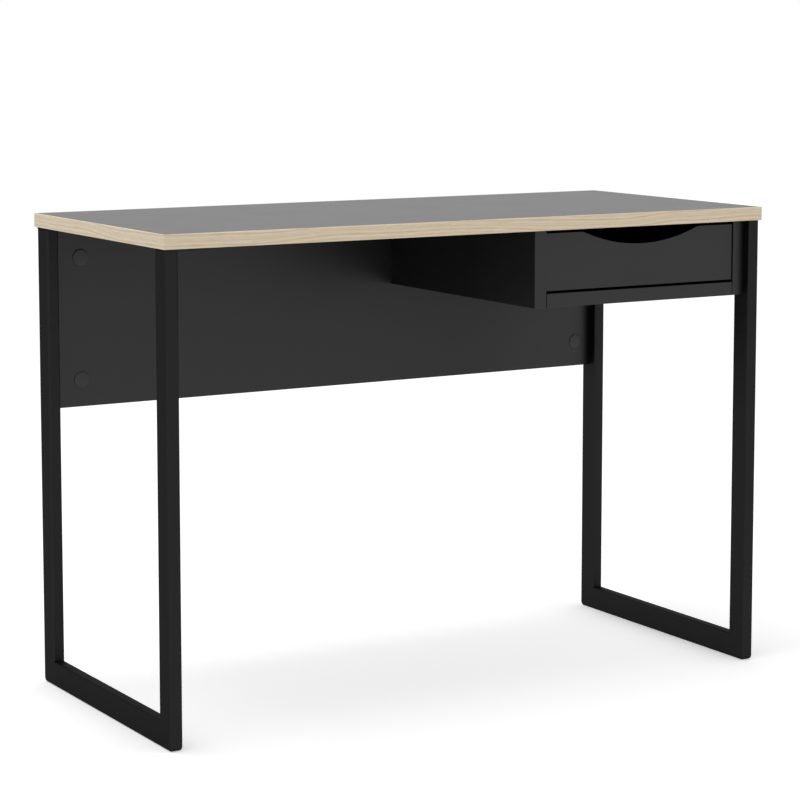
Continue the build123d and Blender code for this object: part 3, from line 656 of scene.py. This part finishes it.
for owner, look in (("case", 1), ("drawer", -1)):
    for side in ("left", "right"):
        piece, wheel = f"{owner}{side.title()}Roller", f"{owner}_{side}_roller"
        fittings.append((piece, wheel, rollerSurface, roller, bayHeart))
        fittings.append((piece + "Pin", wheel + "_pin", pinSurface, rollerPin, bayHeart, look))
for fitting in fittings:
    makeFitting(*fitting)
print("fittings made:", len(fittings))

# Camera at the photograph's viewing angle, in an image of 800 by 800, with metres again from here
camera = {
    "location": (-2.0923, -3.5204, 1.0681),
    "turn": 30.63,          # degrees from +Y towards +X
    "dip": 6.37,            # degrees below the horizon
    "lens": 113.51,         # mm, on a sensor of this width
    "sensor": 36,
    "shift": -0.12,
    "sight": 100,           # how far it sees
}
lens = bpy.data.cameras.new("camera")
lens.lens = camera["lens"]
lens.sensor_width = camera["sensor"]
lens.shift_y = camera["shift"]
lens.clip_end = camera["sight"]
eye = bpy.data.objects.new("camera", lens)
eye.location = camera["location"]
eye.rotation_euler = (radians(90 - camera["dip"]), 0, -radians(camera["turn"]))
scene.collection.objects.link(eye)
scene.camera = eye
print("camera set")


# 1 where the camera, a reflection or glass looks straight at a surface, 0 where the surface only sheds light
def lookedAt(tree):
    path = addNode(tree, "ShaderNodeLightPath")
    looked = path.outputs["Is Camera Ray"]
    for ray in ("Is Glossy Ray", "Is Transmission Ray"):
        both = addNode(tree, "ShaderNodeMath", {0: looked, 1: path.outputs[ray]}, operation="MAXIMUM")
        looked = both.outputs["Value"]
    return looked


# Pale floor: one flat sheet of matt paper between four corners, faintly uneven, which glows a little where
# it is looked at, so that it meets the white backdrop and still keeps the shadow
floor = {
    "half": 9.0,
    "colour": "#f4f4f4",
    "mottle": 40,           # mm
    "roughness": (0.85, 1.0),
    "lift": 0.36,
}


def makeFloor():
    ends = (-floor["half"], floor["half"])
    x, y = np.meshgrid(ends, ends)
    points = np.stack((x, y, np.zeros_like(x)), -1).reshape(-1, 3)
    sheet = bpy.data.meshes.new("floor")
    sheet.from_pydata(points.tolist(), [], [(0, 1, 3, 2)])
    material, tree, place = startMaterial("paleFloorPaper")
    paper = addNode(tree, "ShaderNodeTexNoise", {
        "Vector": place, "Scale": perMetre(floor["mottle"]), "Detail": 3.0})
    dull = addNode(tree, "ShaderNodeMapRange", {
        "Value": paper.outputs["Fac"], "To Min": floor["roughness"][0], "To Max": floor["roughness"][1]})
    lift = addNode(tree, "ShaderNodeMath", {0: lookedAt(tree), 1: floor["lift"]}, operation="MULTIPLY")
    closeMaterial(tree, {
        "Base Color": linear(floor["colour"]), "Roughness": dull.outputs["Result"],
        "Specular IOR Level": 0.0, "Emission Color": (1, 1, 1, 1),
        "Emission Strength": lift.outputs["Value"]})
    sheet.materials.append(material)
    ground = bpy.data.objects.new("floor", sheet)
    scene.collection.objects.link(ground)


# Soft studio light: an even pale surround and one broad overhead box
studio = {
    "surround": 0.8,        # what lights the object
    "backdrop": 1.0,        # what the camera and reflections see
    "box": {"size": (1.6, 1.3), "location": (-0.5, 0.12, 2.6), "power": 17},
}


def makeLight():
    world = bpy.data.worlds.new("studio")
    world.use_nodes = True
    tree = world.node_tree
    tree.nodes.clear()
    level = addNode(tree, "ShaderNodeMapRange", {
        "Value": lookedAt(tree), "To Min": studio["surround"], "To Max": studio["backdrop"]})
    glow = addNode(tree, "ShaderNodeBackground", {
        "Color": (1, 1, 1, 1), "Strength": level.outputs["Result"]})
    addNode(tree, "ShaderNodeOutputWorld", {"Surface": glow.outputs["Background"]})
    scene.world = world
    lamp = bpy.data.lights.new("overheadBox", "AREA")
    lamp.shape = "RECTANGLE"
    lamp.size, lamp.size_y = studio["box"]["size"]
    lamp.energy = studio["box"]["power"]
    box = bpy.data.objects.new("overheadBox", lamp)
    box.location = studio["box"]["location"]
    box.visible_camera = False
    scene.collection.objects.link(box)


makeFloor()
makeLight()
print("floor and light set")
